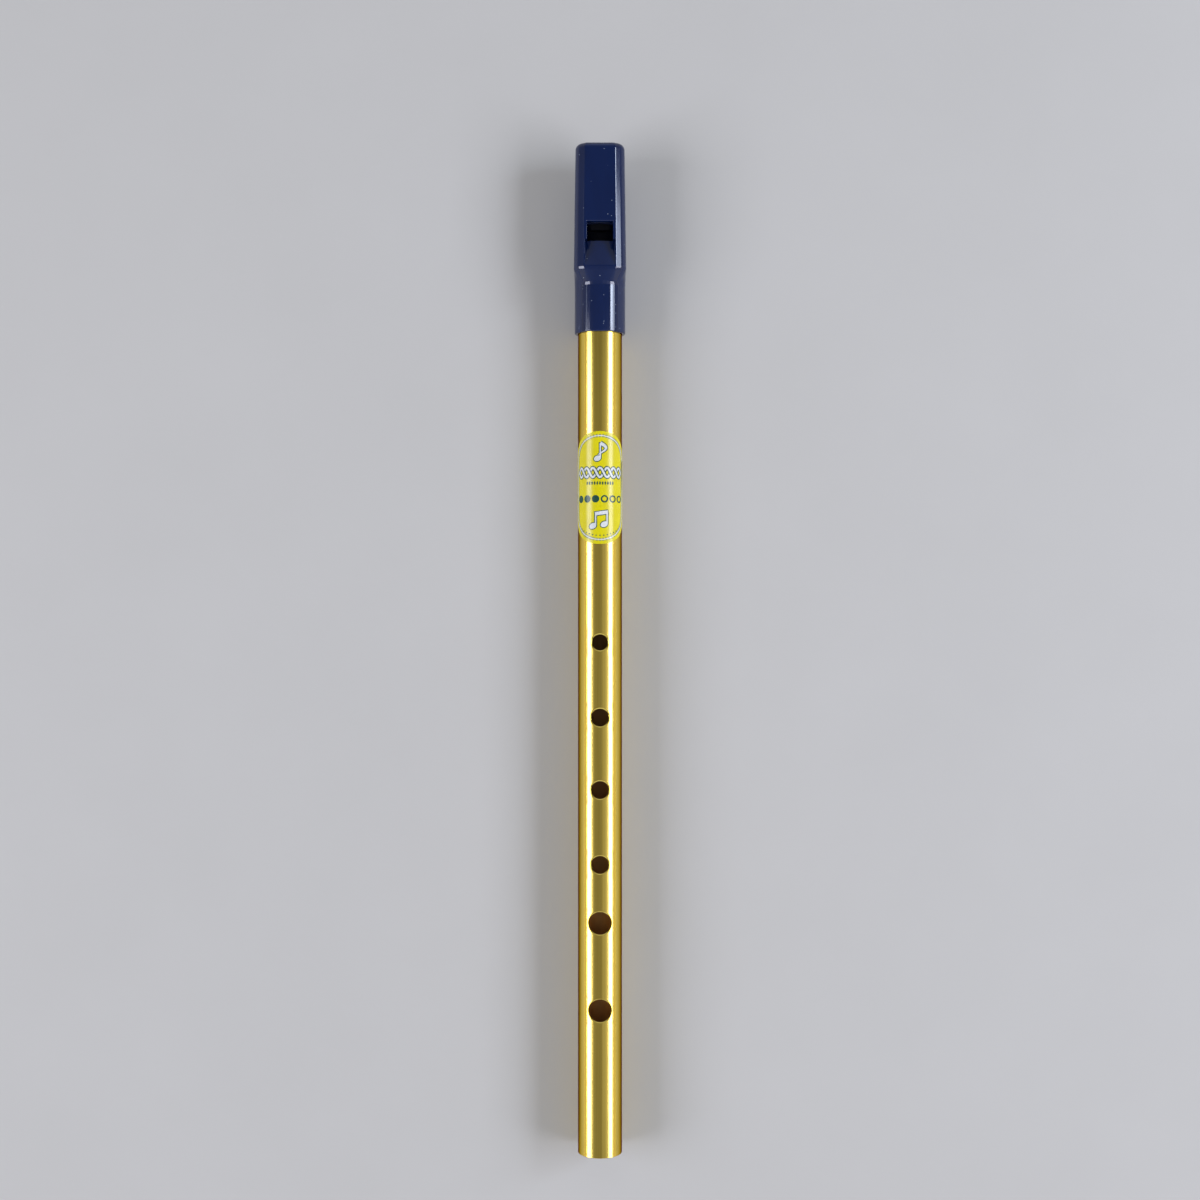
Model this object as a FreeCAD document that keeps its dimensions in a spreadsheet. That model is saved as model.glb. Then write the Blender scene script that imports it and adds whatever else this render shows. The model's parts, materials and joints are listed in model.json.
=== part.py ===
"""Tin whistle in D: a brass tube with six finger holes, a moulded mouthpiece pushed on to it, and a label.

Every piece is drawn standing on the whistle's foot: local Z runs up the bore, local +Y is the front, where
the window and the finger holes are, and the foot's open end is at Z = 0. lay_down() then puts the whistle on
its back, with the bore along +Y towards the beak and the front facing +Z. Lengths are in millimetres.
"""

import FreeCAD, Part

import math
import os

import Sketcher

DIMENSIONS = {
    # the brass tube
    "tube_outer_radius": 6.5,
    "tube_wall": 0.4,
    "end_deburr": 0.1,
    # lengths up the bore, from the foot
    "foot_to_labium": 268.5,
    "labium_to_tip": 28.5,
    "label_middle": 196.3,
    # finger holes, counted from the top
    "hole_1_height": 151.0,
    "hole_2_height": 129.0,
    "hole_3_height": 107.8,
    "hole_4_height": 85.9,
    "hole_5_height": 68.8,
    "hole_6_height": 43.2,
    "hole_1_radius": 2.25,
    "hole_2_radius": 2.5,
    "hole_3_radius": 2.5,
    "hole_4_radius": 2.5,
    "hole_5_radius": 3.2,
    "hole_6_radius": 3.2,
    # the label, measured flat before it is wrapped round the tube
    "label_length": 33.0,
    "label_width": 19.0,
    "label_end_rise": 8.5,
    "label_thickness": 0.1,
    # the mouthpiece's outside: lengths down from the labium, then its cross-sections
    "block_end": 8.4,
    "sleeve_top": 12.2,
    "sleeve_mouth": 26.5,
    "sleeve_radius": 7.5,
    "block_half_width": 7.7,
    "block_front": 9.0,
    "block_facet": 4.6,
    "block_chamfer": 6.15,
    "block_slope": 33.5,
    "tip_half_width": 7.2,
    "tip_front": 8.8,
    "tip_facet": 4.3,
    "tip_chamfer": 5.75,
    "tip_slope": 35.0,
    # where the shoulder's strips meet the round sleeve, in degrees up from the side
    "strip_low_angle": 36.0,
    "strip_middle_angle": 49.0,
    "strip_high_angle": 61.0,
    # the hollowed underside of the beak, an arc that starts this far up from the labium
    "bevel_start": 9.0,
    "bevel_radius": 60.0,
    "tip_back": 1.2,
    # the bore inside the mouthpiece, lengths down from the labium
    "socket_clearance": 0.03,
    "seat_gap": 0.1,
    "socket_step": 9.5,
    "chamber_radius": 6.1,
    # the voicing: window, windway and ramp, with heights measured in the middle of their arches
    "window_length": 5.2,
    "window_half_width": 3.8,
    "exit_floor": 5.75,
    "exit_roof": 6.85,
    "entry_floor": 5.65,
    "entry_roof": 7.3,
    "entry_half_width": 4.2,
    "blade_top": 6.4,
    "arch_drop": 10.0,
    "ramp_length": 7.7,
    "ramp_half_width": 4.45,
    # the hollow under the windway's floor, lengths up from the labium
    "hollow_roof_radius": 4.5,
    "hollow_mouth_half_width": 4.0,
    "hollow_mouth_low": -3.6,
    "hollow_end": 25.0,
    "hollow_end_half_width": 3.5,
    "hollow_end_low": 1.9,
    # how far the open side of a cut stands off the block
    "cut_margin": 1.0,
    # edge rounding on the mouthpiece
    "tip_round": 1.3,
    "sleeve_round": 0.3,
}
HOLE_COUNT = 6
SAME_PLACE = 0.001  # points this close are taken as one
SKIN_TOLERANCE = 0.0001  # how true the label's outer surface is
OUT_FOLDER = "parts"

# Sketch points and lines, as constraints name them
START, END, CENTRE = 1, 2, 3
ORIGIN = (-1, 1)
ACROSS_AXIS, UPWARD_AXIS = -1, -2

UP = FreeCAD.Vector(0, 0, 1)


def make_sheet(doc):
    sheet = doc.addObject("Spreadsheet::Sheet", "dims")
    for row, (alias, value) in enumerate(DIMENSIONS.items(), start=1):
        sheet.set(f"A{row}", alias)
        sheet.set(f"B{row}", str(value))
        sheet.setAlias(f"B{row}", alias)
    doc.recompute()
    return sheet


def lay_down(piece, sheet):
    """Puts a piece on its back: bore along +Y, front up, midway along Y and resting on Z = 0."""
    turn = FreeCAD.Rotation(FreeCAD.Vector(0, 1, 1), 180)
    half_length = (sheet.foot_to_labium + sheet.labium_to_tip) / 2
    piece.Placement = FreeCAD.Placement(FreeCAD.Vector(0, -half_length, sheet.block_half_width), turn)


class Outline:
    """A sketch on one of a body's origin planes, with sizes that are bound to the sheet's cells."""

    def __init__(self, body, name, plane="XY_Plane", height=None):
        self.sketch = body.newObject("Sketcher::SketchObject", name)
        origin = next(feature for feature in body.Origin.OriginFeatures if feature.Role == plane)
        self.sketch.AttachmentSupport = [(origin, "")]
        self.sketch.MapMode = "FlatFace"
        if height:
            self.sketch.setExpression("AttachmentOffset.Base.z", height)

    def line(self, start, end):
        segment = Part.LineSegment(FreeCAD.Vector(*start, 0), FreeCAD.Vector(*end, 0))
        return self.sketch.addGeometry(segment, False)

    def circle(self, centre, radius):
        circle = Part.Circle(FreeCAD.Vector(*centre, 0), UP, radius)
        return self.sketch.addGeometry(circle, False)

    def arc(self, centre, radius, start_angle, end_angle):
        circle = Part.Circle(FreeCAD.Vector(*centre, 0), UP, radius)
        arc = Part.ArcOfCircle(circle, math.radians(start_angle), math.radians(end_angle))
        return self.sketch.addGeometry(arc, False)

    def rule(self, kind, *targets):
        self.sketch.addConstraint(Sketcher.Constraint(kind, *targets))

    def size(self, kind, *targets, bound_to, near):
        """A dimension that follows an expression. near is only where the solver starts."""
        index = self.sketch.addConstraint(Sketcher.Constraint(kind, *targets, near))
        self.sketch.setExpression(f"Constraints[{index}]", bound_to)

    def join(self, kind, *edges):
        """Joins each edge's end to the next one's start, with a Coincident or a Tangent rule."""
        for edge, following in zip(edges, edges[1:]):
            self.rule(kind, edge, END, following, START)


def rings_section(body, name, radii, height=None):
    """Circles about the bore's axis. radii maps each radius's expression to where the solver starts."""
    outline = Outline(body, name, height=height)
    for bound_to, radius in radii.items():
        circle = outline.circle((0, 0), radius)
        outline.rule("Coincident", circle, CENTRE, *ORIGIN)
        outline.size("Radius", circle, bound_to=bound_to, near=radius)
    return outline.sketch


def block_section(body, sheet, name, height, place):
    """The block's outline at one height: a half-round back, flat sides, round corners and a chamfered front.

    place is block or tip, whichever end of the block the section is for. The flat front reaches out to its
    facet, and the chamfers from there to its chamfer, falling away at its slope.
    """
    half_width = sheet.getPropertyByName(f"{place}_half_width")
    front = sheet.getPropertyByName(f"{place}_front")
    facet = sheet.getPropertyByName(f"{place}_facet")
    chamfer = sheet.getPropertyByName(f"{place}_chamfer")
    slope = math.radians(sheet.getPropertyByName(f"{place}_slope"))
    corner = (half_width - chamfer) / (1 - math.sin(slope))
    chamfer_low = front - (chamfer - facet) * math.tan(slope)
    side_top = chamfer_low - corner * math.cos(slope)
    flat = half_width - corner
    turn = 90 - math.degrees(slope)
    outline = Outline(body, name, height=height)
    back = outline.arc((0, 0), half_width, 180, 360)
    right = outline.line((half_width, 0), (half_width, side_top))
    right_corner = outline.arc((flat, side_top), corner, 0, turn)
    right_chamfer = outline.line((chamfer, chamfer_low), (facet, front))
    top = outline.line((facet, front), (-facet, front))
    left_chamfer = outline.line((-facet, front), (-chamfer, chamfer_low))
    left_corner = outline.arc((-flat, side_top), corner, 180 - turn, 180)
    left = outline.line((-half_width, side_top), (-half_width, 0))
    outline.join("Tangent", left_chamfer, left_corner, left, back, right, right_corner, right_chamfer)
    outline.join("Coincident", right_chamfer, top, left_chamfer)
    outline.rule("Coincident", back, CENTRE, *ORIGIN)
    outline.rule("Vertical", right)
    outline.rule("Vertical", left)
    outline.rule("Horizontal", top)
    outline.rule("Equal", right_corner, left_corner)
    outline.rule("Equal", right_chamfer, left_chamfer)
    outline.size("Radius", back, bound_to=f"dims.{place}_half_width", near=half_width)
    outline.size("DistanceY", *ORIGIN, top, START, bound_to=f"dims.{place}_front", near=front)
    outline.size("DistanceX", *ORIGIN, top, START, bound_to=f"dims.{place}_facet", near=facet)
    outline.size("DistanceX", top, END, *ORIGIN, bound_to=f"dims.{place}_facet", near=facet)
    outline.size("DistanceX", *ORIGIN, right_chamfer, START, bound_to=f"dims.{place}_chamfer", near=chamfer)
    outline.size("Angle", right_chamfer, bound_to=f"180 - dims.{place}_slope", near=math.pi - slope)
    return outline.sketch


def sleeve_section(body, sheet, name, height):
    """The sleeve's round outline, in eight arcs that answer the eight edges of the block's outline."""
    radius = sheet.sleeve_radius
    low, middle, high = sheet.strip_low_angle, sheet.strip_middle_angle, sheet.strip_high_angle
    outline = Outline(body, name, height=height)
    ends = (180, 360, 360 + low, 360 + middle, 360 + high, 540 - high, 540 - middle, 540 - low, 540)
    arcs = [outline.arc((0, 0), radius, start, end) for start, end in zip(ends, ends[1:])]
    back, right, right_corner, right_chamfer, top, left_chamfer, left_corner, left = arcs
    outline.join("Coincident", *arcs)
    outline.rule("Horizontal", left, END, back, START)
    for arc in arcs:
        outline.rule("Coincident", arc, CENTRE, *ORIGIN)
    outline.rule("PointOnObject", back, START, ACROSS_AXIS)
    outline.rule("PointOnObject", back, END, ACROSS_AXIS)
    outline.size("Radius", back, bound_to="dims.sleeve_radius", near=radius)
    corner_angle = "dims.strip_middle_angle - dims.strip_low_angle"
    chamfer_angle = "dims.strip_high_angle - dims.strip_middle_angle"
    outline.size("Angle", right, bound_to="dims.strip_low_angle", near=math.radians(low))
    for corner in (right_corner, left_corner):
        outline.size("Angle", corner, bound_to=corner_angle, near=math.radians(middle - low))
    for chamfer in (right_chamfer, left_chamfer):
        outline.size("Angle", chamfer, bound_to=chamfer_angle, near=math.radians(high - middle))
    outline.size("Angle", top, bound_to="180 - 2 * dims.strip_high_angle", near=math.radians(180 - 2 * high))
    return outline.sketch


def hollow_section(body, sheet, name, height, place):
    """The hollow's outline: upright sides between a roof arc about the bore's axis and a flat floor.

    place is hollow_mouth or hollow_end, whichever end of the hollow the section is for.
    """
    roof_radius = sheet.hollow_roof_radius
    side = sheet.getPropertyByName(f"{place}_half_width")
    low = sheet.getPropertyByName(f"{place}_low")
    roof_rise = math.degrees(math.acos(side / roof_radius))
    roof_edge = math.sqrt(roof_radius**2 - side**2)
    outline = Outline(body, name, height=height)
    roof = outline.arc((0, 0), roof_radius, roof_rise, 180 - roof_rise)
    left = outline.line((-side, roof_edge), (-side, low))
    floor = outline.line((-side, low), (side, low))
    right = outline.line((side, low), (side, roof_edge))
    outline.join("Coincident", roof, left, floor, right, roof)
    outline.rule("Coincident", roof, CENTRE, *ORIGIN)
    outline.rule("Vertical", left)
    outline.rule("Vertical", right)
    outline.rule("Horizontal", floor)
    outline.size("Radius", roof, bound_to="dims.hollow_roof_radius", near=roof_radius)
    outline.size("DistanceX", *ORIGIN, right, START, bound_to=f"dims.{place}_half_width", near=side)
    outline.size("DistanceX", left, START, *ORIGIN, bound_to=f"dims.{place}_half_width", near=side)
    outline.size("DistanceY", *ORIGIN, floor, START, bound_to=f"dims.{place}_low", near=low)
    return outline.sketch


def add_arch(outline, sheet, top, side):
    """A flat arch whose middle is as high as the cell named top says, and whose ends are side to each side."""
    radius = sheet.getPropertyByName(top) + sheet.arch_drop
    rise = math.degrees(math.acos(side / radius))
    arch = outline.arc((0, -sheet.arch_drop), radius, rise, 180 - rise)
    outline.rule("PointOnObject", arch, CENTRE, UPWARD_AXIS)
    outline.size("DistanceY", arch, CENTRE, *ORIGIN, bound_to="dims.arch_drop", near=sheet.arch_drop)
    outline.size("Radius", arch, bound_to=f"dims.{top} + dims.arch_drop", near=radius)
    return arch, math.sqrt(radius**2 - side**2) - sheet.arch_drop


def windway_section(body, sheet, name, height, half_width, floor, roof):
    """The windway's outline, upright sides between two flat arches. The last three are names of cells."""
    side = sheet.getPropertyByName(half_width)
    outline = Outline(body, name, height=height)
    roof_arch, roof_edge = add_arch(outline, sheet, roof, side)
    floor_arch, floor_edge = add_arch(outline, sheet, floor, side)
    left = outline.line((-side, roof_edge), (-side, floor_edge))
    right = outline.line((side, floor_edge), (side, roof_edge))
    outline.join("Coincident", roof_arch, left)
    outline.join("Coincident", right, roof_arch)
    outline.rule("Coincident", left, END, floor_arch, END)
    outline.rule("Coincident", floor_arch, START, right, START)
    outline.rule("Vertical", left)
    outline.rule("Vertical", right)
    outline.size("DistanceX", *ORIGIN, right, START, bound_to=f"dims.{half_width}", near=side)
    outline.size("DistanceX", left, START, *ORIGIN, bound_to=f"dims.{half_width}", near=side)
    return outline.sketch


def ramp_section_at_blade(body, sheet, name, height):
    """What the ramp's cut takes out at the blade: all that lies above a flat arch."""
    side = sheet.ramp_half_width
    clear = sheet.block_front + sheet.cut_margin
    outline = Outline(body, name, height=height)
    floor, edge = add_arch(outline, sheet, "blade_top", side)
    left = outline.line((-side, edge), (-side, clear))
    top = outline.line((-side, clear), (side, clear))
    right = outline.line((side, clear), (side, edge))
    outline.join("Coincident", floor, left, top, right, floor)
    outline.rule("Vertical", left)
    outline.rule("Vertical", right)
    outline.rule("Horizontal", top)
    outline.size("DistanceX", *ORIGIN, right, START, bound_to="dims.ramp_half_width", near=side)
    outline.size("DistanceX", left, START, *ORIGIN, bound_to="dims.ramp_half_width", near=side)
    outline.size("DistanceY", *ORIGIN, top, START, bound_to="dims.block_front + dims.cut_margin", near=clear)
    return outline.sketch


def ramp_section_at_foot(body, sheet, name, height):
    """The same cut where the ramp has climbed to the block's front."""
    side = sheet.ramp_half_width
    front = sheet.block_front
    clear = front + sheet.cut_margin
    outline = Outline(body, name, height=height)
    floor = outline.line((side, front), (-side, front))
    left = outline.line((-side, front), (-side, clear))
    top = outline.line((-side, clear), (side, clear))
    right = outline.line((side, clear), (side, front))
    outline.join("Coincident", floor, left, top, right, floor)
    outline.rule("Horizontal", floor)
    outline.rule("Vertical", left)
    outline.rule("Vertical", right)
    outline.rule("Horizontal", top)
    outline.size("DistanceY", *ORIGIN, floor, START, bound_to="dims.block_front", near=front)
    outline.size("DistanceX", *ORIGIN, floor, START, bound_to="dims.ramp_half_width", near=side)
    outline.size("DistanceX", floor, END, *ORIGIN, bound_to="dims.ramp_half_width", near=side)
    outline.size("DistanceY", *ORIGIN, top, START, bound_to="dims.block_front + dims.cut_margin", near=clear)
    return outline.sketch


def bevel_outline(body, sheet):
    """Everything behind the beak's hollowed underside, seen from the side."""
    start = (-sheet.block_half_width, sheet.foot_to_labium + sheet.bevel_start)
    end = (sheet.tip_back, sheet.foot_to_labium + sheet.labium_to_tip)
    radius = sheet.bevel_radius
    chord = math.dist(start, end)
    centre_distance = math.sqrt(radius**2 - (chord / 2) ** 2)
    along = ((end[0] - start[0]) / chord, (end[1] - start[1]) / chord)
    centre = (
        (start[0] + end[0]) / 2 - along[1] * centre_distance,
        (start[1] + end[1]) / 2 + along[0] * centre_distance,
    )

    def angle_to(place):
        return math.degrees(math.atan2(place[1] - centre[1], place[0] - centre[0]))

    clear = sheet.block_half_width + sheet.cut_margin
    outline = Outline(body, "lip_bevel_outline", plane="YZ_Plane")
    underside = outline.arc(centre, radius, angle_to(start), angle_to(end))
    top = outline.line(end, (-clear, end[1]))
    outside = outline.line((-clear, end[1]), (-clear, start[1]))
    bottom = outline.line((-clear, start[1]), start)
    outline.join("Coincident", underside, top, outside, bottom, underside)
    outline.rule("Horizontal", top)
    outline.rule("Vertical", outside)
    outline.rule("Horizontal", bottom)
    bevel_height = "dims.foot_to_labium + dims.bevel_start"
    tip_height = "dims.foot_to_labium + dims.labium_to_tip"
    outline.size("Radius", underside, bound_to="dims.bevel_radius", near=radius)
    outline.size("DistanceX", bottom, END, *ORIGIN, bound_to="dims.block_half_width", near=-start[0])
    outline.size("DistanceY", *ORIGIN, bottom, END, bound_to=bevel_height, near=start[1])
    outline.size("DistanceX", *ORIGIN, top, START, bound_to="dims.tip_back", near=end[0])
    outline.size("DistanceY", *ORIGIN, top, START, bound_to=tip_height, near=end[1])
    outside_bound = "dims.block_half_width + dims.cut_margin"
    outline.size("DistanceX", outside, START, *ORIGIN, bound_to=outside_bound, near=clear)
    return outline.sketch


def bore_outline(body, sheet):
    """Half of the bore's section: the socket for the tube, a step, and the chamber up to the window's top."""
    mouth = sheet.foot_to_labium - sheet.sleeve_mouth
    step = sheet.foot_to_labium - sheet.socket_step
    window_top = sheet.foot_to_labium + sheet.window_length
    socket = sheet.tube_outer_radius + sheet.socket_clearance
    chamber = sheet.chamber_radius
    corners = [
        (0, mouth), (socket, mouth), (socket, step),
        (chamber, step), (chamber, window_top), (0, window_top),
    ]
    outline = Outline(body, "bore_outline", plane="YZ_Plane")
    edges = [outline.line(start, end) for start, end in zip(corners, corners[1:] + corners[:1])]
    outline.join("Coincident", *edges, edges[0])
    mouth_edge, socket_wall, step_edge, chamber_wall, end_edge, axis = edges
    for edge in (mouth_edge, step_edge, end_edge):
        outline.rule("Horizontal", edge)
    for edge in (socket_wall, chamber_wall, axis):
        outline.rule("Vertical", edge)
    outline.rule("PointOnObject", mouth_edge, START, UPWARD_AXIS)
    socket_radius = "dims.tube_outer_radius + dims.socket_clearance"
    outline.size("DistanceX", *ORIGIN, socket_wall, START, bound_to=socket_radius, near=socket)
    outline.size("DistanceX", *ORIGIN, chamber_wall, START, bound_to="dims.chamber_radius", near=chamber)
    mouth_height = "dims.foot_to_labium - dims.sleeve_mouth"
    outline.size("DistanceY", *ORIGIN, mouth_edge, START, bound_to=mouth_height, near=mouth)
    step_height = "dims.foot_to_labium - dims.socket_step"
    outline.size("DistanceY", *ORIGIN, step_edge, START, bound_to=step_height, near=step)
    end_height = "dims.foot_to_labium + dims.window_length"
    outline.size("DistanceY", *ORIGIN, end_edge, START, bound_to=end_height, near=window_top)
    return outline.sketch


def window_outline(body, sheet):
    """The window, seen from the front."""
    side = sheet.window_half_width
    low = sheet.foot_to_labium
    high = low + sheet.window_length
    outline = Outline(body, "window_outline", plane="XZ_Plane")
    blade = outline.line((-side, low), (side, low))
    right = outline.line((side, low), (side, high))
    top = outline.line((side, high), (-side, high))
    left = outline.line((-side, high), (-side, low))
    outline.join("Coincident", blade, right, top, left, blade)
    outline.rule("Horizontal", blade)
    outline.rule("Horizontal", top)
    outline.rule("Vertical", right)
    outline.rule("Vertical", left)
    high_bound = "dims.foot_to_labium + dims.window_length"
    outline.size("DistanceX", *ORIGIN, right, START, bound_to="dims.window_half_width", near=side)
    outline.size("DistanceX", blade, START, *ORIGIN, bound_to="dims.window_half_width", near=side)
    outline.size("DistanceY", *ORIGIN, blade, START, bound_to="dims.foot_to_labium", near=low)
    outline.size("DistanceY", *ORIGIN, top, START, bound_to=high_bound, near=high)
    return outline.sketch


def loft(body, kind, name, first, last):
    """A straight-sided loft between two sections, kind being Additive or Subtractive."""
    feature = body.newObject(f"PartDesign::{kind}Loft", name)
    feature.Profile = first
    feature.Sections = [last]
    feature.Ruled = True
    return feature


def wanted_edges(shape, is_wanted):
    """The names of the edges whose ends and middle all pass the test."""
    names = []
    for number, edge in enumerate(shape.Edges, start=1):
        middle = edge.valueAt((edge.FirstParameter + edge.LastParameter) / 2)
        if all(is_wanted(place) for place in [middle] + [vertex.Point for vertex in edge.Vertexes]):
            names.append(f"Edge{number}")
    return names


def soften(body, kind, name, base, is_wanted, cell):
    """A PartDesign Fillet or Chamfer on the wanted edges of a feature."""
    base.Document.recompute()
    edges = wanted_edges(base.Shape, is_wanted)
    if not edges:
        raise RuntimeError(f"{name}: no edges to work on")
    feature = body.newObject(f"PartDesign::{kind}", name)
    feature.Base = (base, edges)
    feature.setExpression("Radius" if kind == "Fillet" else "Size", f"dims.{cell}")
    return feature


def at_heights(*heights):
    return lambda place: any(abs(place.z - height) < SAME_PLACE for height in heights)


def make_tube(doc, sheet):
    body = doc.addObject("PartDesign::Body", "tube")
    radii = {
        "dims.tube_outer_radius": sheet.tube_outer_radius,
        "dims.tube_outer_radius - dims.tube_wall": sheet.tube_outer_radius - sheet.tube_wall,
    }
    drawn_tube = body.newObject("PartDesign::Pad", "drawn_tube")
    drawn_tube.Profile = rings_section(body, "tube_outline", radii)
    drawn_tube.setExpression("Length", "dims.foot_to_labium - dims.socket_step - dims.seat_gap")
    last = drawn_tube
    for number in range(1, HOLE_COUNT + 1):
        height = sheet.getPropertyByName(f"hole_{number}_height")
        radius = sheet.getPropertyByName(f"hole_{number}_radius")
        mark = Outline(body, f"hole_{number}_outline", plane="XZ_Plane")
        circle = mark.circle((0, height), radius)
        mark.rule("PointOnObject", circle, CENTRE, UPWARD_AXIS)
        mark.size("DistanceY", *ORIGIN, circle, CENTRE, bound_to=f"dims.hole_{number}_height", near=height)
        mark.size("Radius", circle, bound_to=f"dims.hole_{number}_radius", near=radius)
        last = body.newObject("PartDesign::Pocket", f"finger_hole_{number}")
        last.Profile = mark.sketch
        last.Type = "ThroughAll"
    top = sheet.foot_to_labium - sheet.socket_step - sheet.seat_gap
    soften(body, "Chamfer", "deburred_ends", last, at_heights(0, top), "end_deburr")
    return body


def make_mouthpiece(doc, sheet):
    body = doc.addObject("PartDesign::Body", "mouthpiece")
    tip_height = "dims.foot_to_labium + dims.labium_to_tip"
    window_top = "dims.foot_to_labium + dims.window_length"
    sleeve_top = "dims.foot_to_labium - dims.sleeve_top"
    mouth = "dims.foot_to_labium - dims.sleeve_mouth"
    block_end = "dims.foot_to_labium - dims.block_end"

    # the outside
    block_foot = block_section(body, sheet, "block_foot", block_end, "block")
    block_tip = block_section(body, sheet, "block_tip", tip_height, "tip")
    loft(body, "Additive", "block", block_foot, block_tip)
    shoulder_low = sleeve_section(body, sheet, "shoulder_low", sleeve_top)
    shoulder_high = block_section(body, sheet, "shoulder_high", block_end, "block")
    loft(body, "Additive", "shoulder", shoulder_low, shoulder_high)
    sleeve = body.newObject("PartDesign::Pad", "sleeve")
    sleeve.Profile = rings_section(body, "sleeve_outline", {"dims.sleeve_radius": sheet.sleeve_radius}, mouth)
    sleeve.setExpression("Length", "dims.sleeve_mouth - dims.sleeve_top")

    # the underside of the beak, where the lower lip goes
    bevel = body.newObject("PartDesign::Pocket", "lip_bevel")
    bevel.Profile = bevel_outline(body, sheet)
    bevel.Type = "ThroughAll"
    bevel.SideType = "Symmetric"
    beak_end = sheet.foot_to_labium + sheet.labium_to_tip
    soften(body, "Fillet", "tip_edge", bevel, at_heights(beak_end), "tip_round")

    # the bore, and the hollow beyond it
    bore = body.newObject("PartDesign::Groove", "bore")
    bore_half = bore_outline(body, sheet)
    bore.Profile = bore_half
    bore.ReferenceAxis = (bore_half, ["V_Axis"])
    hollow_top = "dims.foot_to_labium + dims.hollow_end"
    hollow_mouth = hollow_section(body, sheet, "hollow_mouth_outline", window_top, "hollow_mouth")
    hollow_end = hollow_section(body, sheet, "hollow_end_outline", hollow_top, "hollow_end")
    loft(body, "Subtractive", "hollow", hollow_mouth, hollow_end)

    # the voicing
    windway_exit = windway_section(
        body, sheet, "windway_exit", window_top,
        half_width="window_half_width", floor="exit_floor", roof="exit_roof",
    )
    windway_entry = windway_section(
        body, sheet, "windway_entry", tip_height,
        half_width="entry_half_width", floor="entry_floor", roof="entry_roof",
    )
    loft(body, "Subtractive", "windway", windway_exit, windway_entry)
    window = body.newObject("PartDesign::Pocket", "window")
    window.Profile = window_outline(body, sheet)
    window.Type = "ThroughAll"
    blade = ramp_section_at_blade(body, sheet, "ramp_at_blade", "dims.foot_to_labium")
    foot = ramp_section_at_foot(body, sheet, "ramp_at_foot", "dims.foot_to_labium - dims.ramp_length")
    ramp = loft(body, "Subtractive", "ramp", blade, foot)

    # the sleeve's mouth
    mouth_height = sheet.foot_to_labium - sheet.sleeve_mouth
    soften(body, "Fillet", "mouth_edges", ramp, at_heights(mouth_height), "sleeve_round")
    return body


def make_label(doc, sheet):
    """A paper skin on the tube, whose outline is drawn in the tube's own unrolled surface.

    In that surface the first coordinate is the angle round the tube and the second is the length along it, so
    the label's elliptical ends are drawn with their width as an angle.
    """
    tube = Part.Cylinder()
    tube.Radius = sheet.tube_outer_radius
    front = math.pi / 2
    half_angle = sheet.label_width / 2 / sheet.tube_outer_radius
    half_straight = sheet.label_length / 2 - sheet.label_end_rise

    def end_arc(middle, start):
        centre = FreeCAD.Base.Vector2d(front, middle)
        ellipse = Part.Geom2d.Ellipse2d(centre, sheet.label_end_rise, half_angle)
        ellipse.XAxis = FreeCAD.Base.Vector2d(0, 1)
        return Part.Geom2d.ArcOfEllipse2d(ellipse, start, start + math.pi)

    def side(arc, following):
        start, end = arc.value(arc.LastParameter), following.value(following.FirstParameter)
        return Part.Geom2d.Line2dSegment(start, end)

    high_arc = end_arc(sheet.label_middle + half_straight, -math.pi / 2)
    low_arc = end_arc(sheet.label_middle - half_straight, math.pi / 2)
    outline_curves = (high_arc, side(high_arc, low_arc), low_arc, side(low_arc, high_arc))
    outline = Part.Wire([curve.toShape(tube) for curve in outline_curves])
    skin = Part.Face(tube, outline)
    skin.validate()
    label = doc.addObject("Part::Feature", "label")
    label.Shape = skin.makeOffsetShape(sheet.label_thickness, SKIN_TOLERANCE, fill=True)
    return label


def check(doc, pieces):
    for item in doc.Objects:
        if "Invalid" in item.State or "Error" in item.State:
            raise RuntimeError(f"{item.Name} failed: {item.State}")
    for piece in pieces:
        shape = piece.Shape
        if shape.isNull() or not shape.isValid() or len(shape.Solids) != 1:
            raise RuntimeError(f"{piece.Label} is not one valid solid")


def main():
    doc = FreeCAD.newDocument("tin_whistle")
    sheet = make_sheet(doc)
    pieces = [make_tube(doc, sheet), make_mouthpiece(doc, sheet), make_label(doc, sheet)]
    for piece in pieces:
        piece.Label = piece.Name
        lay_down(piece, sheet)
    doc.recompute()
    check(doc, pieces)
    os.makedirs(OUT_FOLDER, exist_ok=True)
    for piece in pieces:
        piece.Shape.exportStep(f"{OUT_FOLDER}/{piece.Label}.step")
        print(piece.Label, round(piece.Shape.Volume, 1), piece.Shape.BoundBox)


main()
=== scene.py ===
"""Looks of the tin whistle: a lacquered brass tube, a glossy navy mouthpiece and a printed yellow label.

Shapes are worked out in millimetres in the whistle's own terms: x is to the right, along runs up the bore
from the foot, and up is the height above the bore's axis. place() turns them into metres in the frame that
the CAD model and the poses share.
"""
import json
import math

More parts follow.
